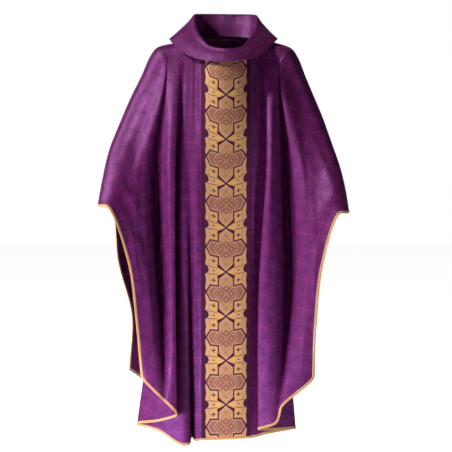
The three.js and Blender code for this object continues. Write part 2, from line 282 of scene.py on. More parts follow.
def creased(grid, out, creases):
    """Presses soft creases into a panel. Each has two ends, x and z as seen from the front or back,
    and the width and height of its ridge, minus for a hollow."""
    height = np.zeros(grid.shape[:2])
    place = grid[..., [0, 2]]
    for x0, z0, x1, z1, width, ridge in creases:
        start, way = np.array([x0, z0]), np.array([x1 - x0, z1 - z0])
        share = ((place - start) @ way) / (way @ way)
        off = np.linalg.norm(place - start - np.clip(share, 0, 1)[..., None] * way, axis=2)
        fade = np.clip(1 - np.abs(2 * share - 1) ** 3, 0, 1)
        height += ridge * fade * np.exp(-((off / width) ** 2))
    down = np.clip((DOWN_PLACES - CREASES_START) / CREASES_FADE, 0, 1)[:, None]
    return grid + out * (height * down)[..., None]


def outwards(grid, round_way=False):
    """The way out of a grid's surface at each point. A grid made round_way closes on itself."""
    down = np.gradient(grid, axis=0)
    if round_way:
        across = np.roll(grid, -1, axis=1) - np.roll(grid, 1, axis=1)
    else:
        across = np.gradient(grid, axis=1)
    out = np.cross(down, across)
    return out / np.maximum(np.linalg.norm(out, axis=2, keepdims=True), 1e-9)


def flat_cut(grid, every=4, rounds=120, least_weight=0.05, most_weight=20, top_slope=0.45):
    """Lays the panel out flat, as it was cut, with its centre line upright: a point of the cut for
    each point of the grid, in millimetres. Each small triangle of a net over the cloth, with its
    corners on every fourth row and column, keeps its own shape as nearly as it can."""
    rows = np.unique(np.append(np.arange(0, grid.shape[0], every), grid.shape[0] - 1))
    columns = np.arange(0, grid.shape[1], every)
    net = grid[np.ix_(rows, columns)]
    high, wide = net.shape[:2]
    number = np.arange(high * wide).reshape(high, wide)
    corners = [number[:-1, :-1], number[1:, :-1], number[1:, 1:], number[:-1, 1:]]
    a, b, c, d = (corner.ravel() for corner in corners)
    triangles = np.vstack([np.stack([a, b, c], 1), np.stack([a, c, d], 1)])
    solid = net.reshape(-1, 3)[triangles]
    side = solid[:, 1] - solid[:, 0]
    other = solid[:, 2] - solid[:, 0]
    length = np.linalg.norm(side, axis=1)
    along = (side * other).sum(1) / length
    height = np.linalg.norm(np.cross(side, other), axis=1) / length
    own = np.zeros((len(triangles), 3, 2))
    own[:, 1, 0] = length
    own[:, 2, 0] = along
    own[:, 2, 1] = height
    size = high * wide
    pull = np.zeros((size, size))
    edges = []
    for i, j, k in ((0, 1, 2), (1, 2, 0), (2, 0, 1)):
        p, q = own[:, i] - own[:, k], own[:, j] - own[:, k]
        turn = np.abs(p[:, 0] * q[:, 1] - p[:, 1] * q[:, 0])
        weight = np.clip((p * q).sum(1) / np.maximum(turn, 1e-6), least_weight, most_weight)
        edges.append((i, j, weight))
        for first, second in ((i, i), (j, j), (i, j), (j, i)):
            place = triangles[:, first] * size + triangles[:, second]
            way = 1 if first == second else -1
            pull += np.bincount(place, way * weight, size * size).reshape(size, size)
    middle = number[high // 2, int(np.argmin(np.abs(net[high // 2, :, 0])))]
    pull[middle, middle] += 1
    solve = np.linalg.inv(pull)
    half = net[high // 2]
    spread = np.concatenate([[0], np.cumsum(np.linalg.norm(np.diff(half, axis=0), axis=1))])
    spread -= spread[int(np.argmin(np.abs(half[:, 0])))]
    run = np.cumsum(np.linalg.norm(np.diff(net, axis=0), axis=2), axis=0)
    drop = np.concatenate([np.zeros((1, wide)), run])
    top = -np.abs(spread) * top_slope
    flat = np.stack([np.broadcast_to(spread, (high, wide)), top - drop], 2).reshape(-1, 2)
    for _ in range(rounds):
        now = flat[triangles]
        span = np.zeros((len(triangles), 2, 2))
        for i, j, weight in edges:
            new, old = now[:, i] - now[:, j], own[:, i] - own[:, j]
            span += weight[:, None, None] * new[:, :, None] * old[:, None, :]
        turn = np.arctan2(span[:, 1, 0] - span[:, 0, 1], span[:, 0, 0] + span[:, 1, 1])
        cos, sin = np.cos(turn)[:, None], np.sin(turn)[:, None]
        wanted = np.zeros((size, 2))
        for i, j, weight in edges:
            old = own[:, i] - own[:, j]
            x, y = old[:, :1], old[:, 1:]
            way = np.hstack([cos * x - sin * y, sin * x + cos * y]) * weight[:, None]
            for n in range(2):
                wanted[:, n] += np.bincount(triangles[:, i], way[:, n], size)
                wanted[:, n] -= np.bincount(triangles[:, j], way[:, n], size)
        flat = solve @ wanted
    flat = flat.reshape(high, wide, 2)
    centre = int(np.argmin(np.abs(net[0, :, 0])))
    line = flat[-1, centre] - flat[1, centre]
    lean = math.atan2(line[0], -line[1])
    turned = np.array([[math.cos(lean), math.sin(lean)], [-math.sin(lean), math.cos(lean)]])
    flat = (flat - flat[0, centre]) @ turned.T
    all_rows, all_columns = (np.arange(count) for count in grid.shape[:2])
    fine = np.empty((high, len(all_columns), 2))
    cut = np.empty(grid.shape[:2] + (2,))
    for n in range(2):
        for row in range(high):
            fine[row, :, n] = np.interp(all_columns, columns, flat[row, :, n])
        for column in all_columns:
            cut[:, column, n] = np.interp(all_rows, rows, fine[:, column, n])
    return cut


def cloth_wall(name, outer, inner, cut, material, round_way=False):
    """A thin closed wall between two grids in millimetres. Its UV map is the flat cut in metres."""
    rows, columns = outer.shape[:2]
    points = np.vstack([outer.reshape(-1, 3), inner.reshape(-1, 3)]) / 1000
    number = np.arange(rows * columns).reshape(rows, columns)
    if round_way:
        number = np.hstack([number, number[:, :1]])
    far = number + rows * columns
    faces = [
        np.stack([number[:-1, :-1], number[1:, :-1], number[1:, 1:], number[:-1, 1:]], -1),
        np.stack([far[:-1, :-1], far[:-1, 1:], far[1:, 1:], far[1:, :-1]], -1),
        np.stack([number[0, 1:], far[0, 1:], far[0, :-1], number[0, :-1]], -1),
        np.stack([number[-1, 1:], number[-1, :-1], far[-1, :-1], far[-1, 1:]], -1),
    ]
    if not round_way:
        faces.append(np.stack([number[1:, 0], number[:-1, 0], far[:-1, 0], far[1:, 0]], -1))
        faces.append(np.stack([number[:-1, -1], number[1:, -1], far[1:, -1], far[:-1, -1]], -1))
    faces = np.vstack([face.reshape(-1, 4) for face in faces])
    mesh = bpy.data.meshes.new(name)
    mesh.from_pydata(points.tolist(), [], faces.tolist())
    layer = mesh.uv_layers.new(name="cut")
    flat = np.vstack([cut.reshape(-1, 2)] * 2) / 1000
    corner = np.empty(len(mesh.loops), np.int32)
    mesh.loops.foreach_get("vertex_index", corner)
    uv = flat[corner]
    if round_way:
        by_face = uv.reshape(-1, 4, 2)
        turn = np.ptp(cut[..., 0]) / 1000 * columns / (columns - 1)
        wide = np.ptp(by_face[..., 0], axis=1) > turn / 2
        last = wide[:, None] & (by_face[..., 0] < by_face[..., 0].mean(1, keepdims=True))
        by_face[..., 0] += last * turn
    layer.data.foreach_set("uv", uv.ravel())
    mesh.materials.append(material)
    mesh.shade_smooth()
    mesh.set_sharp_from_angle(angle=math.radians(SHARP_ANGLE))
    piece = bpy.data.objects.new(name, mesh)
    bpy.context.collection.objects.link(piece)
    return piece


def damask_panel(name, lines, face, creases):
    """One of the two panels: the piece, the grid of its outer surface and the way out of it."""
    grid, tops = panel_grid(lines, face)
    out = outwards(grid)
    for column, top in enumerate(tops):
        if abs(top) >= 1:
            out[0, column] = seam_outward(top)
    cut = flat_cut(grid)
    grid = creased(grid, out, creases)
    return cloth_wall(name, grid, grid - out * CLOTH, cut, DAMASK), grid, out


class Amount:
    """A number that changes over the cloth: an output in a shader node tree, with plain arithmetic."""

    def __init__(self, tree, socket):
        self.tree, self.socket = tree, socket

    def joined(self, operation, *others):
        node = self.tree.nodes.new("ShaderNodeMath")
        node.operation = operation
        for place, value in enumerate((self, *others)):
            if isinstance(value, Amount):
                self.tree.links.new(value.socket, node.inputs[place])
            else:
                node.inputs[place].default_value = value
        return Amount(self.tree, node.outputs[0])

    def __add__(self, other):
        return self.joined("ADD", other)

    def __sub__(self, other):
        return self.joined("SUBTRACT", other)

    def __mul__(self, other):
        return self.joined("MULTIPLY", other)

    def __truediv__(self, other):
        return self.joined("DIVIDE", other)

    def __neg__(self):
        return self.joined("MULTIPLY", -1)

    __radd__ = __add__
    __rmul__ = __mul__

    def __rsub__(self, other):
        return -self + other

    def least(self, other):
        return self.joined("MINIMUM", other)

    def most(self, other):
        return self.joined("MAXIMUM", other)

    def size(self):
        return self.joined("ABSOLUTE")

    def wave(self):
        return self.joined("SINE")

    def root(self):
        return self.joined("MAXIMUM", 0).joined("SQRT")

    def fold(self, period):
        """Distance to the nearest whole number of periods."""
        return self.joined("PINGPONG", period / 2)

    def repeat(self, period):
        """The place within its period, from minus half to plus half of it."""
        return self.joined("WRAP", period / 2, -period / 2)

    def inside(self, soft=0.4):
        """1 where the number is below 0 and 0 above it, with a soft step."""
        return (0.5 - self / soft).joined("MAXIMUM", 0).joined("MINIMUM", 1)

    def line(self, width, soft=0.4):
        """1 within half a width of 0."""
        return (self.size() - width / 2).inside(soft)


def group(name, inputs, outputs):
    """An empty shader node group for a place on the cut, with other inputs as (name, default)."""
    tree = bpy.data.node_groups.new(name, "ShaderNodeTree")
    tree.interface.new_socket(name="Cut", in_out="INPUT", socket_type="NodeSocketVector")
    for label, value in inputs:
        socket = tree.interface.new_socket(name=label, in_out="INPUT", socket_type="NodeSocketFloat")
        socket.default_value = value
    for label in outputs:
        tree.interface.new_socket(name=label, in_out="OUTPUT", socket_type="NodeSocketFloat")
    return tree, tree.nodes.new("NodeGroupInput"), tree.nodes.new("NodeGroupOutput")


def millimetres(tree, socket):
    """Across and along the cut, in millimetres."""
    part = tree.nodes.new("ShaderNodeSeparateXYZ")
    tree.links.new(socket, part.inputs[0])
    return Amount(tree, part.outputs["X"]) * 1000, Amount(tree, part.outputs["Y"]) * 1000


def noise(tree, socket, scale, detail, stretch=(1, 1, 1)):
    """Cloudy variation over the cut, closer together where it is stretched more."""
    mapping = tree.nodes.new("ShaderNodeMapping")
    mapping.inputs["Scale"].default_value = stretch
    texture = tree.nodes.new("ShaderNodeTexNoise")
    texture.inputs["Scale"].default_value = scale
    texture.inputs["Detail"].default_value = detail
    tree.links.new(socket, mapping.inputs["Vector"])
    tree.links.new(mapping.outputs[0], texture.inputs["Vector"])
    return Amount(tree, texture.outputs["Fac"])


def weave_group():
    """Satin weave: a height for fine slanting floats and a value for slubs and uneven dye."""
    tree, given, made = group("weave", [("Thread", 0.7), ("Slant", 0.35)], ["Height", "Uneven"])
    across, along = millimetres(tree, given.outputs["Cut"])
    thread = Amount(tree, given.outputs["Thread"])
    slant = Amount(tree, given.outputs["Slant"])
    turn = (across + along * slant) / thread * (2 * math.pi)
    cross = (along - across * slant) / thread * (2 * math.pi)
    height = turn.wave() * 0.6 + cross.wave() * 0.4
    dye = noise(tree, given.outputs["Cut"], 9, 3)
    slubs = noise(tree, given.outputs["Cut"], 60, 2, (1, 7, 1))
    uneven = dye * 0.6 + slubs * 0.4
    tree.links.new(height.socket, made.inputs["Height"])
    tree.links.new(uneven.socket, made.inputs["Uneven"])
    return tree


def damask_group():
    """The figure of the damask: pointed petals along the lines of a slanting square net, and a thin
    cross in each of its squares. It gives one mask for the petals and a finer one for the crosses
    and the edges of the petals."""
    slant = 1 / math.sqrt(2)
    round_petal, round_centre = 0.986, 0.858  # squared radius and centre of a petal's curved side
    cross_half, cross_arm = 1.1, 21.5
    edge = 0.012
    tree, given, made = group("damask_figure", [("Square", 64)], ["Figure", "Lines"])
    across, along = millimetres(tree, given.outputs["Cut"])
    square = Amount(tree, given.outputs["Square"])
    s = (across + along) * slant / square
    t = (along - across) * slant / square
    from_s, from_t = s.fold(1), t.fold(1)
    in_s, in_t = 0.5 - from_s, 0.5 - from_t
    petal_s = from_t - ((round_petal - in_s * in_s).root() - round_centre)
    petal_t = from_s - ((round_petal - in_t * in_t).root() - round_centre)
    petal = petal_s.least(petal_t)
    cell_s, cell_t = (s - 0.5).repeat(1), (t - 0.5).repeat(1)
    flat_x = (cell_s - cell_t).size() * square * slant
    flat_y = (cell_s + cell_t).size() * square * slant
    cross = (flat_x.least(flat_y) - cross_half).most(flat_x.most(flat_y) - cross_arm)
    rim = petal.line(0.022, edge) * 0.55
    tree.links.new(petal.inside(edge).socket, made.inputs["Figure"])
    tree.links.new(cross.inside(0.5).most(rim).socket, made.inputs["Lines"])
    return tree


WEAVE = weave_group()
DAMASK_FIGURE = damask_group()


def use(tree, kind, place, **values):
    """Puts a node group in a material, at a place on the cut."""
    node = tree.nodes.new("ShaderNodeGroup")
    node.node_tree = kind
    tree.links.new(place, node.inputs["Cut"])
    for label, value in values.items():
        node.inputs[label].default_value = value
    return node


def blend_colours(tree, share, first, second):
    node = tree.nodes.new("ShaderNodeMix")
    node.data_type = "RGBA"
    tree.links.new(share.socket, node.inputs["Factor"])
    for label, value in (("A", first), ("B", second)):
        if isinstance(value, bpy.types.NodeSocket):
            tree.links.new(value, node.inputs[label])
        else:
            node.inputs[label].default_value = (*value, 1)
    return node.outputs["Result"]


def new_material(name):
    """An empty material: itself, its node tree, its shader and the place on the cut."""
    material = bpy.data.materials.new(name)
    material.use_nodes = True
    tree = material.node_tree
    place = tree.nodes.new("ShaderNodeUVMap")
    place.uv_map = "cut"
    return material, tree, tree.nodes["Principled BSDF"], place.outputs["UV"]


def dyed(tree, shader, colour, roughness, height):
    """Gives a material its colour, its roughness and its fine relief, with heights in metres."""
    bump = tree.nodes.new("ShaderNodeBump")
    bump.inputs["Distance"].default_value = 1.0
    bump.inputs["Strength"].default_value = 1.0
    tree.links.new(height.socket, bump.inputs["Height"])
    tree.links.new(bump.outputs["Normal"], shader.inputs["Normal"])
    tree.links.new(colour, shader.inputs["Base Color"])
    tree.links.new(roughness.socket, shader.inputs["Roughness"])


GROUND = (0.13, 0.0105, 0.088)
FIGURE = (0.092, 0.007, 0.06)
LIGHT_LINES = (0.3, 0.048, 0.24)
UNEVEN_DYE = (0.09, 0.008, 0.09)


def damask_material():
    """Purple figured damask: satin ground, figure in the duller face of the weave."""
    material, tree, shader, place = new_material("purple_damask")
    weave = use(tree, WEAVE, place)
    figure = use(tree, DAMASK_FIGURE, place)
    petals = Amount(tree, figure.outputs["Figure"])
    lines = Amount(tree, figure.outputs["Lines"])
    uneven = Amount(tree, weave.outputs["Uneven"])
    colour = blend_colours(tree, petals, GROUND, FIGURE)
    colour = blend_colours(tree, lines * 0.75, colour, LIGHT_LINES)
    colour = blend_colours(tree, (uneven - 0.42).most(0) * 1.3, colour, UNEVEN_DYE)
    roughness = 0.43 + petals * 0.07 - lines * 0.12 + (uneven - 0.5) * 0.2
    height = Amount(tree, weave.outputs["Height"]) * 0.00006 + petals * -0.00012 + lines * 0.0001
    height = height + noise(tree, place, 14, 4) * 0.0011
    dyed(tree, shader, colour, roughness, height)
    shader.inputs["Specular IOR Level"].default_value = 0.9
    shader.inputs["Specular Tint"].default_value = (0.8, 0.35, 1, 1)
    shader.inputs["Sheen Weight"].default_value = 0.12
    shader.inputs["Sheen Roughness"].default_value = 0.4
    shader.inputs["Sheen Tint"].default_value = (0.75, 0.35, 1, 1)
    return material


DAMASK = damask_material()
front_panel, front_grid, front_out = damask_panel("front_damask_panel", FRONT_LINES, FRONT, [
    (-232, -120, -318, -330, 13, 2.4), (-262, -140, -352, -380, 11, -2),
    (-236, -250, -300, -470, 15, 2.2), (-352, -400, -262, -520, 14, 2.6),
    (-330, -455, -240, -640, 16, -2.4), (-285, -560, -232, -760, 13, 2),
    (-268, -700, -196, -900, 17, 2.4), (-214, -860, -246, -1040, 14, -2),
    (-208, -560, -196, -800, 12, 2), (242, -130, 300, -300, 12, 2.4),
    (262, -190, 338, -420, 12, -2), (246, -330, 312, -520, 15, 2.4),
    (346, -430, 268, -560, 14, 2.6), (330, -500, 246, -680, 15, -2.4),
    (290, -600, 240, -800, 14, 2.2), (262, -760, 226, -960, 15, 2.2),
    (140, -420, 132, -700, 9, 1.8), (128, -720, 118, -1000, 9, -1.6),
])
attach(front_panel, "root")
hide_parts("front_panel")

# The back panel: the same damask, plain, with one tuck on each side of the centre. It is sewn to the
# front along the top of each arm and hangs free from the shoulder blades.
BACK_LINES = [
    (2, 300, -60, 274, 20, 268, 62, -1040),
    (1.87, 299, -30, 272, 38, 263, 84, -1052),
    (1.72, 292, 2, 265, 56, 254, 104, -1070),
    (1.58, 282, 28, 258, 72, 244, 118, -1088),
    (1.45, 268, 50, 249, 88, 233, 130, -1106),
    (1.33, 253, 68, 240, 102, 221, 139, -1128),
    (1.235, 234, 84, 226, 112, 208, 142, -1152),
    (1.18, 208, 92, 202, 108, 190, 136, -1176),
    (1.13, 176, 118, 172, 142, 168, 159, -1197),
    (1.1, 154, 119, 150, 146, 149, 165, -1200),
    (1.085, 166, 107, 170, 124, 173, 139, -1201),
    (1.065, 182, 96, 194, 98, 208, 102, -1206),
    (1.05, 158, 97, 162, 110, 168, 116, -1208),
    (1.03, 128, 110, 126, 136, 124, 146, -1213),
    (1.01, 102, 111, 100, 124, 98, 130, -1214),
    (0.8, 76, 117, 74, 136, 72, 150, -1216),
    (0.45, 40, 121, 40, 141, 39, 153, -1217),
    (0, 0, 122, 0, 142, 0, 154, -1217),
    (-0.45, -40, 121, -40, 141, -39, 153, -1217),
    (-0.8, -76, 117, -74, 138, -72, 152, -1216),
    (-1.01, -104, 111, -103, 126, -100, 132, -1214),
    (-1.03, -130, 110, -128, 138, -126, 148, -1213),
    (-1.05, -160, 97, -165, 110, -172, 116, -1208),
    (-1.065, -184, 96, -198, 98, -212, 102, -1206),
    (-1.085, -168, 107, -172, 124, -174, 138, -1202),
    (-1.1, -156, 119, -153, 146, -149, 166, -1199),
    (-1.13, -179, 118, -176, 142, -168, 160, -1192),
    (-1.18, -211, 92, -206, 108, -194, 136, -1170),
    (-1.235, -238, 84, -230, 112, -213, 144, -1148),
    (-1.33, -258, 66, -248, 102, -230, 140, -1128),
    (-1.45, -280, 48, -262, 86, -247, 130, -1110),
    (-1.58, -300, 24, -276, 70, -264, 118, -1094),
    (-1.72, -320, -4, -288, 52, -281, 102, -1078),
    (-1.87, -334, -28, -298, 36, -298, 84, -1062),
    (-2, -342, -48, -304, 20, -314, 62, -1046),
]
back_panel, back_grid, back_out = damask_panel("back_damask_panel", BACK_LINES, BACK, [
    (250, -160, 320, -400, 14, 2.4), (280, -200, 340, -440, 12, -2),
    (240, -380, 290, -640, 16, 2.4), (-250, -160, -320, -400, 14, 2.4),
    (-290, -240, -350, -480, 12, -2), (-250, -420, -300, -700, 16, 2.4),
    (60, -180, 70, -560, 18, 2.2), (-60, -220, -72, -640, 18, 2.2),
    (0, -500, 4, -1000, 16, -2.2), (230, -760, 210, -1080, 15, 2), (-240, -760, -226, -1060, 15, 2),
])
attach(back_panel, "root")
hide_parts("back_panel")

# The collar: a deep doubled band of the same damask. It is sewn to the neckline and stands on it,
# rolls over and lies on the shoulders, high behind the neck and low in front.
COLLAR_WALL = 2.4
COLLAR_STEPS_ROUND = 130  # on the front half of the neckline, and as many on the back half
COLLAR_STEPS_ACROSS = 61
# Each row: degrees from the front, then how far out and how high the collar rolls, and ends.
COLLAR_LINES = [
    (-180, 97, 116, 150, 8), (-135, 116, 115, 172, 26), (-110, 107, 104, 182, 31),
    (-90, 97, 66, 180, 25), (-75, 91, 46, 163, -3), (-50, 93, 19, 144, -36),
    (-28, 100, -4, 139, -50), (0, 105, -13, 136, -55), (28, 100, -6, 137, -47),
    (50, 92, 19, 138, -32), (75, 89, 46, 148, 3), (90, 93, 66, 164, 26),
    (110, 104, 100, 168, 28), (135, 114, 113, 166, 24), (180, 97, 116, 150, 8),
]


def collar_values(turn):
    """Roll and fall of the collar at a direction round the neck, in degrees from the front."""
    round_rows = np.array(COLLAR_LINES[:-1], float)
    count = len(round_rows)

    def row(n):
        values = round_rows[n % count].copy()
        values[0] += 360 * (n // count)
        return values

    after = max(next(n for n, line in enumerate(COLLAR_LINES) if line[0] >= turn - 1e-9), 1)
    before, a, b, beyond = (row(n) for n in (after - 2, after - 1, after, after + 1))
    span = b[0] - a[0]
    share = (turn - a[0]) / span
    slope_a = (b - before) / (b[0] - before[0]) * span
    slope_b = (beyond - a) / (beyond[0] - a[0]) * span
    bend = 3 * (b - a) - 2 * slope_a - slope_b
    twist = 2 * (a - b) + slope_a + slope_b
    return (a + share * (slope_a + share * (bend + share * twist)))[1:]


def collar_grid():
    """The collar's surface from the neckline over the roll to the free edge, all the way round."""
    side = 0.999
    foot = [top_point(top, FRONT) for top in np.linspace(-side, side, COLLAR_STEPS_ROUND)]
    foot += [top_point(top, BACK) for top in np.linspace(side, -side, COLLAR_STEPS_ROUND)]
    sections = []
    for start in foot:
        start = start + np.array([0, 0, SEAM])
        turn = math.degrees(math.atan2(start[0], -start[1]))
        way = np.array([start[0], start[1], 0]) / math.hypot(start[0], start[1])
        roll_r, roll_z, fall_r, fall_z = collar_values(turn)
        foot_r = math.hypot(start[0], start[1])
        section = [(foot_r, start[2]), ((foot_r + roll_r) / 2 - 4, (start[2] + roll_z) / 2)]
        section += [(roll_r - 3, roll_z - 5), (roll_r + 3, roll_z)]
        for share, lift in ((0.25, 3), (0.6, 4), (1, 0)):
            far, high = roll_r + (fall_r - roll_r) * share, roll_z + (fall_z - roll_z) * share
            section.append((far, high + lift))
        points = [way * r + np.array([0, 0, z]) for r, z in section]
        sections.append(curve_points(points, np.linspace(0, 1, COLLAR_STEPS_ACROSS)))
    return np.array(sections).transpose(1, 0, 2)


collar_inside = collar_grid()
collar_out = outwards(collar_inside, round_way=True)
around = np.linalg.norm(np.roll(collar_inside[-1], -1, axis=0) - collar_inside[-1], axis=1)
collar_cut = np.empty(collar_inside.shape[:2] + (2,))
collar_cut[..., 0] = np.concatenate([[0], np.cumsum(around)[:-1]])
collar_cut[..., 1] = -np.concatenate([
    np.zeros((1, collar_inside.shape[1])),
    np.cumsum(np.linalg.norm(np.diff(collar_inside, axis=0), axis=2), axis=0),
])
collar_outside = collar_inside + collar_out * COLLAR_WALL
collar = cloth_wall("cowl_collar", collar_outside, collar_inside, collar_cut, DAMASK, round_way=True)
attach(collar, "root")
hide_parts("collar")

# The orphrey: a stiff jacquard band in gold and purple thread, laid down the centre of the front
# from the neckline to the hem and stitched along both selvedges.
BAND_THICK = 1.3
BAND_EDGE = 0.58  # the lines of the front panel under its two edges
BAND_START = 0.02  # under the collar, as a share of the way down
front_places = [line[0] for line in FRONT_LINES]
first, last = (front_places.index(place) * COLUMNS_PER_LINE for place in (-BAND_EDGE, BAND_EDGE))
start = int(np.searchsorted(DOWN_PLACES, BAND_START))
band_grid = front_grid[start:, first:last + 1]
band_out = front_out[start:, first:last + 1]
band_middle = band_grid[:, band_grid.shape[1] // 2]
band_run = np.cumsum(np.linalg.norm(np.diff(band_middle, axis=0), axis=1))
band_cut = np.empty(band_grid.shape[:2] + (2,))
band_cut[..., 0] = band_grid[..., 0]
band_cut[..., 1] = -np.concatenate([[0], band_run])[:, None]


def orphrey_group():
    """The woven pattern: gold stars with eight arms that touch in a crossing, square gold corners
    with a small flower, a leaf on each side of the crossing, and a round bay in each edge. The
    numbers are places and sizes in millimetres, from the middle of a star to the next crossing."""
    drawn_repeat = 138  # from star to star in these numbers, before it is fitted to Repeat
    tree, given, made = group(
        "orphrey_pattern",
        [("Repeat", 137.7), ("First Star", -37.3)],
        ["Ground", "Star", "Pale", "Bright", "Outline"],
    )
    across, along = millimetres(tree, given.outputs["Cut"])
    first_star = Amount(tree, given.outputs["First Star"])
    x = across.size()
    y = (along - first_star) / Amount(tree, given.outputs["Repeat"]) * drawn_repeat
    y = y.fold(drawn_repeat)
    tooth = (x - y).fold(6.2)
    upright = (x - 22.7).most((x - 22.7) * 0.661 + (y - 47.5) * 0.75)
    level = (y - 22.7).most((x - 47.5) * 0.86 + (y - 22.7) * 0.511)
    star = upright.least(level)
    leaf_gap = (x - 26 - tooth).most(49.5 - y).most((x - 3) * 0.46 + tooth * 0.9 - (69 - y))
    outline = (star - 1.8 - tooth * 0.95).least(leaf_gap).most(-1.2 - star)
    veins = (y - 58.6 + (x - 40) * 0.12).size() - 0.9 - tooth * 0.25
    outline = outline.least(veins.most((x - 44).size() - 17).most(0.9 - (x + y).fold(5.4)))
    bay = 13.3 - ((x - 66.5) * (x - 66.5) + (y - 69) * (y - 69)).root()
    edge = x - 62.9 - ((y - 6) * (2 * math.pi / 36)).wave() * 1.1
    ground = outline.least(-bay).least(-edge)
    specks = [(48, 37, 1.5), (52.6, 43.5, 1.3), (52, 51, 1.4)]
    specks += [(47, 57.5, 1.6), (36, 57.6, 1.4), (41.5, 56, 1.2)]
    for at_x, at_y, radius in specks:
        ground = ground.least((x - at_x).size() + (y - at_y).size() - radius * 1.2)
    flower_x, flower_y = (x - 38.5).size(), (y - 39).size()
    flower = flower_x + flower_y - (flower_x - flower_y).size() * 0.45 - 4.6
    flower = flower.most(1.3 - flower_x - flower_y)
    ground = ground.least(flower).least(((x - 38.5) * 0.3).size() + (y - 69).size() - 1.9)
    inside_star = (star + 0.9).inside()
    diamond = x + y
    petal = ((x - 17).size() + y).least(x + (y - 17).size())
    net = x * 0.82 + y * 0.572
    pale = (star + 3.6).line(2.6).most((net - 31.4).line(2.0)).most((petal - 3.6).inside())
    pale = pale.most((diamond - 31).line(1.8)).most((x - y).line(1.6) * (diamond - 26).inside())
    pale = (pale * inside_star).most((bay + 1.8).line(2.6)).most((flower + 2.6).line(0.01, 6) * 0.7)
    shade = (diamond - 27.8).line(2.2).most((petal - 7.2).line(2.4)).most((net - 28.6).line(1.5))
    vein_x = (y - (x - 28) * 0.3).line(1.3) * (30 - x).inside() * (y - 20).inside()
    vein_y = (x - (y - 38) * 0.28).line(1.3) * (40 - y).inside() * (x - 20).inside()
    hair = (net.fold(3.6) - 0.55).inside(0.5) * 0.6
    shade = shade.most(vein_x).most(vein_y).most(hair) * inside_star
    bright = (49.5 - y).most(x - 34).inside(8).most((x - 46).most(24 - y).inside(3) * 0.6)
    masks = (ground.inside(), inside_star, pale, bright, shade)
    for name, mask in zip(("Ground", "Star", "Pale", "Bright", "Outline"), masks):
        tree.links.new(mask.socket, made.inputs[name])
    return tree


def orphrey_material():
    """Jacquard in gold and purple thread: weft ribs, gold that shines more than the ground."""
    material, tree, shader, place = new_material("orphrey_band")
    pattern = use(tree, orphrey_group(), place)
    weave = use(tree, WEAVE, place, Thread=0.9, Slant=0.0)
    names = ("Ground", "Star", "Pale", "Bright", "Outline")
    ground, star, pale, bright, shade = (Amount(tree, pattern.outputs[name]) for name in names)
    threads = noise(tree, place, 420, 1, (1, 2.2, 1))
    colour = blend_colours(tree, star, (0.63, 0.38, 0.16), (0.37, 0.18, 0.08))
    colour = blend_colours(tree, bright, colour, (0.74, 0.46, 0.13))
    colour = blend_colours(tree, pale, colour, (0.72, 0.42, 0.25))
    colour = blend_colours(tree, shade * 0.8, colour, (0.2, 0.07, 0.075))
    colour = blend_colours(tree, (threads - 0.5).most(0) * 1.1, colour, (0.3, 0.12, 0.06))
    colour = blend_colours(tree, ground, colour, (0.06, 0.005, 0.032))
    roughness = 0.42 + ground * 0.2 + threads * 0.1
    height = Amount(tree, weave.outputs["Height"]) * 0.00007 + ground * -0.00025 + shade * -0.0001
    dyed(tree, shader, colour, roughness, height)
    tree.links.new(((1 - ground) * 0.28).socket, shader.inputs["Metallic"])
    shader.inputs["Specular IOR Level"].default_value = 0.2
    return material


orphrey = cloth_wall(
    "orphrey_band",
    band_grid + band_out * (SEAM + BAND_THICK),
    band_grid + band_out * SEAM,
    band_cut,
    orphrey_material(),
)
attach(orphrey, "root")
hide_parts("front_orphrey")

# The bindings: gold satin cut on the bias and folded over the side edges and the hem of each panel,
# in one strip from wrist to wrist, held by a row of machine stitches near its inner edge.
# Its section: how far past the panel's edge and how far out of the cloth.
BINDING_SECTION = [
    (0.35, -0.1), (0.6, 0.5), (1.5, 0.85), (3.2, 0.8), (5, 0.85), (6.8, 0.8), (7.8, 0.45),
    (8.3, -0.2), (8.3, -0.9), (7.8, -1.55), (6.8, -1.9), (5, -1.95), (3.2, -1.9), (1.5, -1.95),
    (0.6, -1.6), (0.35, -1.0),
]
STITCH_ROW = (1.9, 0.92)  # the row of stitches, in the same section


def panel_edge(grid, out, smoothed_over=7):
    """A panel's free edge from wrist to wrist: its points, the way out of the cloth, the way on past
    the edge and the length so far."""
    steps = [(row, 0) for row in range(grid.shape[0] - 1)]
    steps += [(-1, column) for column in range(grid.shape[1] - 1)]
    steps += [(row, -1) for row in range(grid.shape[0] - 1, -1, -1)]
    at = np.array([grid[step] for step in steps])
    up = np.array([out[step] for step in steps])
    along = np.gradient(at, axis=0)
    along /= np.linalg.norm(along, axis=1, keepdims=True)
    free = np.cross(along, up)
    run = np.concatenate([[0], np.cumsum(np.linalg.norm(np.diff(at, axis=0), axis=1))])
    near = np.exp(-(((run[:, None] - run[None, :]) / smoothed_over) ** 2))
    free = near @ free
    for end in (0, -1):
        wrist = by_length(seam_of(at[end, 0]), [0.998, 1])
        free[end] = wrist[1] - wrist[0]
    free /= np.linalg.norm(free, axis=1, keepdims=True)
    return at, up, free, run


def satin_material():
    """Gold satin on the bias, a little puckered by its stitches."""
    material, tree, shader, place = new_material("gold_satin")
    weave = use(tree, WEAVE, place, Thread=0.5, Slant=1.0)
    uneven = Amount(tree, weave.outputs["Uneven"])
    pucker = noise(tree, place, 130, 2, (1, 0.45, 1))
    colour = blend_colours(tree, uneven, (0.78, 0.47, 0.17), (0.6, 0.32, 0.1))
    height = Amount(tree, weave.outputs["Height"]) * 0.00004 + pucker * 0.0006
    dyed(tree, shader, colour, 0.3 + uneven * 0.2, height)
    shader.inputs["Sheen Weight"].default_value = 0.3
    shader.inputs["Sheen Tint"].default_value = (1, 0.85, 0.6, 1)
    return material


GOLD_SATIN = satin_material()


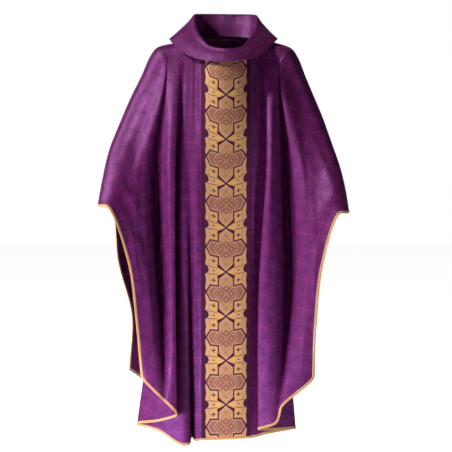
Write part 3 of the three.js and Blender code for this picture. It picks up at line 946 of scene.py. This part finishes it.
def binding(name, grid, out):
    """The binding of one panel, and the line for the stitches on it."""
    at, up, free, run = panel_edge(grid, out)
    section = np.array(BINDING_SECTION)
    rings = np.array([at + free * past + up * high for past, high in section])
    round_section = np.linalg.norm(np.roll(section, -1, axis=0) - section, axis=1)
    girth = np.concatenate([[0], np.cumsum(round_section)]) / 1000
    length = run / 1000
    sides, steps = len(section), len(at)
    points = rings.transpose(1, 0, 2).reshape(-1, 3) / 1000
    faces, flat = [], []
    for step in range(steps - 1):
        here, there = step * sides, (step + 1) * sides
        u0, u1 = length[step:step + 2]
        for side in range(sides):
            beside = (side + 1) % sides
            faces.append((here + side, there + side, there + beside, here + beside))
            v0, v1 = girth[side:side + 2]
            flat += [(u0, v0), (u1, v0), (u1, v1), (u0, v1)]
    for step, ring in ((0, range(sides)), (steps - 1, range(sides - 1, -1, -1))):
        faces.append(tuple(step * sides + side for side in ring))
        flat += [(length[step] + section[side, 1] / 1000, section[side, 0] / 1000) for side in ring]
    mesh = bpy.data.meshes.new(name)
    mesh.from_pydata(points.tolist(), [], faces)
    layer = mesh.uv_layers.new(name="cut")
    layer.data.foreach_set("uv", np.array(flat).ravel())
    mesh.materials.append(GOLD_SATIN)
    mesh.shade_smooth()
    piece = bpy.data.objects.new(name, mesh)
    bpy.context.collection.objects.link(piece)
    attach(piece, "root")
    return piece, at + free * STITCH_ROW[0] + up * STITCH_ROW[1]


front_binding, front_stitch_line = binding("front_satin_binding", front_grid, front_out)
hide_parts("front_binding")
back_binding, back_stitch_line = binding("back_satin_binding", back_grid, back_out)
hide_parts("back_binding")

# The stitches: one row of machine stitches in gold thread near the inner edge of each binding, and
# one in purple thread along each selvedge of the orphrey. They hold both to the damask.
SELVEDGE_INSET = 2
THREAD_LIFT = 0.1


def stitch_tree(material):
    """Sets one short stitch after another along a line."""
    tree = bpy.data.node_groups.new("stitches_along_line", "GeometryNodeTree")
    tree.interface.new_socket(name="Geometry", in_out="INPUT", socket_type="NodeSocketGeometry")
    for label, value in (("Spacing", 0.0034), ("Stitch Length", 0.0026), ("Thread", 0.0003)):
        socket = tree.interface.new_socket(name=label, in_out="INPUT", socket_type="NodeSocketFloat")
        socket.default_value = value
    tree.interface.new_socket(name="Geometry", in_out="OUTPUT", socket_type="NodeSocketGeometry")
    kinds = {
        "given": "NodeGroupInput", "line": "GeometryNodeMeshToCurve",
        "even": "GeometryNodeResampleCurve", "half": "ShaderNodeMath",
        "size": "ShaderNodeCombineXYZ", "ball": "GeometryNodeMeshIcoSphere",
        "long": "GeometryNodeTransform", "along": "GeometryNodeInputTangent",
        "turn": "FunctionNodeAlignRotationToVector", "set": "GeometryNodeInstanceOnPoints",
        "real": "GeometryNodeRealizeInstances", "smooth": "GeometryNodeSetShadeSmooth",
        "dye": "GeometryNodeSetMaterial", "made": "NodeGroupOutput",
    }
    node = {label: tree.nodes.new(kind) for label, kind in kinds.items()}
    node["even"].mode = "LENGTH"
    node["half"].operation = "MULTIPLY"
    node["half"].inputs[1].default_value = 0.5
    node["ball"].inputs["Radius"].default_value = 1
    node["ball"].inputs["Subdivisions"].default_value = 2
    node["turn"].axis = "Z"
    node["dye"].inputs["Material"].default_value = material
    for source, output, target, entry in (
        ("given", "Geometry", "line", "Mesh"), ("line", "Curve", "even", "Curve"),
        ("given", "Spacing", "even", "Length"), ("given", "Stitch Length", "half", 0),
        ("given", "Thread", "size", "X"), ("given", "Thread", "size", "Y"), ("half", 0, "size", "Z"),
        ("ball", "Mesh", "long", "Geometry"), ("size", 0, "long", "Scale"),
        ("along", "Tangent", "turn", "Vector"), ("even", "Curve", "set", "Points"),
        ("long", "Geometry", "set", "Instance"), ("turn", "Rotation", "set", "Rotation"),
        ("set", "Instances", "real", "Geometry"), ("real", "Geometry", "smooth", "Geometry"),
        ("smooth", "Geometry", "dye", "Geometry"), ("dye", "Geometry", "made", "Geometry"),
    ):
        tree.links.new(node[source].outputs[output], node[target].inputs[entry])
    return tree


def thread_material(name, light, dark):
    """Sewing thread, lighter and darker along its twist. It has no cut, so it goes by its place."""
    material = bpy.data.materials.new(name)
    material.use_nodes = True
    tree = material.node_tree
    place = tree.nodes.new("ShaderNodeTexCoord")
    twist = noise(tree, place.outputs["Object"], 900, 1)
    colour = blend_colours(tree, twist, light, dark)
    dyed(tree, tree.nodes["Principled BSDF"], colour, 0.35 + twist * 0.25, twist * 0.0001)
    return material


def stitched(name, line, spacing, length, tree):
    """A row of stitches along a line of points in millimetres, as a plain mesh."""
    path = bpy.data.meshes.new(name + "_path")
    path.from_pydata((line / 1000).tolist(), [(n, n + 1) for n in range(len(line) - 1)], [])
    holder = bpy.data.objects.new(name + "_path", path)
    bpy.context.collection.objects.link(holder)
    modifier = holder.modifiers.new("stitches", "NODES")
    modifier.node_group = tree
    entries = [item for item in tree.interface.items_tree if item.in_out == "INPUT"]
    sockets = {item.name: item.identifier for item in entries}
    modifier[sockets["Spacing"]] = spacing / 1000
    modifier[sockets["Stitch Length"]] = length / 1000
    depsgraph = bpy.context.evaluated_depsgraph_get()
    mesh = bpy.data.meshes.new_from_object(holder.evaluated_get(depsgraph), depsgraph=depsgraph)
    mesh.name = name
    bpy.data.objects.remove(holder)
    piece = bpy.data.objects.new(name, mesh)
    bpy.context.collection.objects.link(piece)
    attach(piece, "root")
    return piece


gold_thread = thread_material("gold_thread", (0.8, 0.52, 0.2), (0.5, 0.27, 0.09))
purple_thread = thread_material("purple_thread", (0.13, 0.015, 0.09), (0.06, 0.006, 0.04))
gold_tree, purple_tree = stitch_tree(gold_thread), stitch_tree(purple_thread)
front_stitches = stitched("front_binding_stitches", front_stitch_line, 3.4, 2.6, gold_tree)
back_stitches = stitched("back_binding_stitches", back_stitch_line, 3.4, 2.6, gold_tree)
for side, edge, beside in (("left", 0, 1), ("right", -1, -2)):
    inward = band_grid[:, beside] - band_grid[:, edge]
    inward /= np.linalg.norm(inward, axis=1, keepdims=True)
    above = band_out[:, edge] * (SEAM + BAND_THICK + THREAD_LIFT)
    row = band_grid[:, edge] + inward * SELVEDGE_INSET + above
    stitched(side + "_selvedge_stitches", row, 3.2, 2.3, purple_tree)
